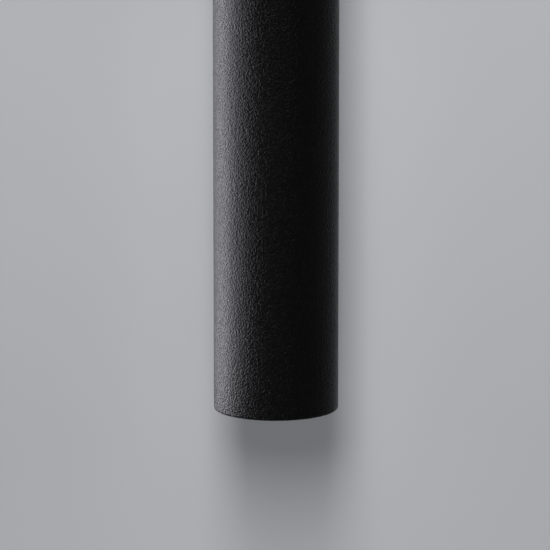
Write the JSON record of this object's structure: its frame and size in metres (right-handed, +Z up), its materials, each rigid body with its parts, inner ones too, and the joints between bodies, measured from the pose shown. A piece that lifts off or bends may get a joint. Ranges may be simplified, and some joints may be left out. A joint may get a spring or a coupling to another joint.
{
  "type": "wall light",
  "caption": "Upright round tube wall light with a textured black coating, held off the wall by a slim canopy, with a recessed twist-lock lamp and a glare baffle at each open end.",
  "frame": {"origin": "centre of the two wall fixing slots and of the cable hole, on the wall plane", "axes": "+Z up along the tube, +Y into the wall, -Y out into the room, +X to the right of someone who faces the light"},
  "size_m": [0.06, 0.094, 0.6],
  "materials": {
    "black_coating": "matte",
    "zinc_plate": "satin",
    "plated_screw": "satin",
    "blackened_screw": "satin",
    "black_rubber": "matte",
    "white_nylon": "satin",
    "brass": "satin",
    "tinned_copper": "satin",
    "live_insulation": "satin",
    "neutral_insulation": "satin",
    "earth_insulation": "satin",
    "black_baffle": "matte",
    "spring_steel": "satin",
    "lamp_body": "satin",
    "lamp_plastic": "satin",
    "pin_metal": "satin",
    "lamp_lens": "satin",
    "board_white": "satin",
    "led_phosphor": "gloss",
    "holder_ceramic": "satin"
  },
  "bodies": {
    "wall_bracket": {"wall_plate": "zinc_plate", "weld_nuts": "plated_screw", "cable_bushing": "black_rubber", "earth_washer": "plated_screw", "earth_screw": "plated_screw"},
    "light_unit": {"tube": "black_coating", "canopy": "black_coating", "rim_seal": "black_rubber", "saddle_washers": "plated_screw", "saddle_screws": "plated_screw", "saddle_nut_plate": "zinc_plate", "lead_bush": "white_nylon", "terminal_block": "white_nylon", "terminal_inserts": "brass", "terminal_screws": "plated_screw", "terminal_fixing_screws": "plated_screw", "earth_tag": "tinned_copper", "canopy_earth_screw": "plated_screw", "earth_lead": "earth_insulation", "lead_ferrules": "tinned_copper", "lower_live_lead": "live_insulation", "upper_live_lead": "live_insulation", "lower_neutral_lead": "neutral_insulation", "upper_neutral_lead": "neutral_insulation", "lower_lampholder": "holder_ceramic", "lower_holder_contacts": "brass", "lower_holder_screws": "plated_screw", "lower_holder_bracket": "zinc_plate", "lower_bracket_screws": "blackened_screw", "upper_lampholder": "holder_ceramic", "upper_holder_contacts": "brass", "upper_holder_screws": "plated_screw", "upper_holder_bracket": "zinc_plate", "upper_bracket_screws": "blackened_screw"},
    "left_washer": {"left_clamp_washer": "blackened_screw"},
    "left_screw": {"left_clamp_screw": "blackened_screw"},
    "right_washer": {"right_clamp_washer": "blackened_screw"},
    "right_screw": {"right_clamp_screw": "blackened_screw"},
    "lower_lamp": {"lower_lamp_shell": "lamp_body", "lower_lamp_base": "lamp_plastic", "lower_lamp_pins": "pin_metal", "lower_lamp_lens": "lamp_lens", "lower_led_board": "board_white", "lower_leds": "led_phosphor"},
    "lower_baffle": {"lower_glare_baffle": "black_baffle", "lower_baffle_springs": "spring_steel"},
    "upper_lamp": {"upper_lamp_shell": "lamp_body", "upper_lamp_base": "lamp_plastic", "upper_lamp_pins": "pin_metal", "upper_lamp_lens": "lamp_lens", "upper_led_board": "board_white", "upper_leds": "led_phosphor"},
    "upper_baffle": {"upper_glare_baffle": "black_baffle", "upper_baffle_springs": "spring_steel"}
  },
  "joints": [
    {"name": "left_washer_travel", "type": "slide", "parent": "wall_bracket", "child": "left_washer", "axis": [-1, 0, 0], "range_m": [0, 0.0014]},
    {"name": "left_screw_turn", "type": "hinge", "parent": "left_washer", "child": "left_screw", "pos_m": [-0.0258, -0.009, 0], "axis": [-1, 0, 0], "range_deg": [0, 720]},
    {"name": "right_washer_travel", "type": "slide", "parent": "wall_bracket", "child": "right_washer", "axis": [1, 0, 0], "range_m": [0, 0.0014]},
    {"name": "right_screw_turn", "type": "hinge", "parent": "right_washer", "child": "right_screw", "pos_m": [0.0258, -0.009, 0], "axis": [1, 0, 0], "range_deg": [0, 720]},
    {"name": "light_unit_lift_off", "type": "slide", "parent": "wall_bracket", "child": "light_unit", "axis": [0, -1, 0], "range_m": [0, 0.045]},
    {"name": "lower_lamp_twist", "type": "hinge", "parent": "light_unit", "child": "lower_lamp", "pos_m": [0, -0.064, -0.222], "axis": [0, 0, -1], "range_deg": [0, 30]},
    {"name": "lower_baffle_pull", "type": "slide", "parent": "light_unit", "child": "lower_baffle", "axis": [0, 0, -1], "range_m": [0, 0.035]},
    {"name": "upper_lamp_twist", "type": "hinge", "parent": "light_unit", "child": "upper_lamp", "pos_m": [0, -0.064, 0.222], "axis": [0, 0, 1], "range_deg": [0, 30]},
    {"name": "upper_baffle_pull", "type": "slide", "parent": "light_unit", "child": "upper_baffle", "axis": [0, 0, 1], "range_m": [0, 0.035]}
  ],
  "couplings": [
    {"joint": "left_screw_turn", "follows": "left_washer_travel", "rad_per_m": 8976},
    {"joint": "right_screw_turn", "follows": "right_washer_travel", "rad_per_m": 8976}
  ]
}
